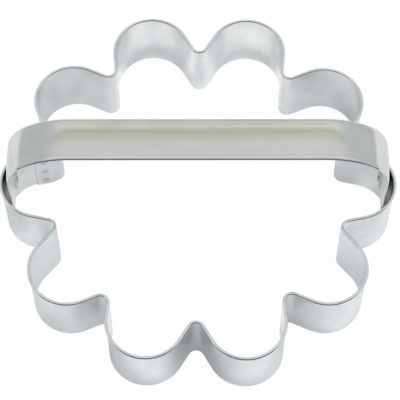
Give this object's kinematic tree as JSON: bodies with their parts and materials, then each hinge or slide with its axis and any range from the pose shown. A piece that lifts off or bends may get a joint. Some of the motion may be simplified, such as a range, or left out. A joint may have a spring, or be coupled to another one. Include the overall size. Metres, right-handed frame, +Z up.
{
  "type": "cookie cutter",
  "caption": "Flower-shaped tinplate cookie cutter with rounded petals, a rolled top rim and a flat strap handle across the top.",
  "frame": {"origin": "centre of the flower on the plane of the cutting edge, at the bottom of the part", "axes": "+X along the handle towards the right side petal, +Y towards the back of the flower, +Z up from the cutting edge to the handle"},
  "size_m": [0.1028, 0.099, 0.0429],
  "materials": {
    "band_tinplate": "bright tinplate, lightly worn, semi-gloss",
    "strap_tinplate": "bright tinplate, lightly worn, semi-gloss",
    "weld_metal": "matt weld metal, slightly darker than the sheet"
  },
  "bodies": {
    "root": {"cutter_band": "band_tinplate", "handle_strap": "strap_tinplate", "left_leg_welds": "weld_metal", "right_leg_welds": "weld_metal", "seam_welds": "weld_metal"}
  },
  "joints": []
}
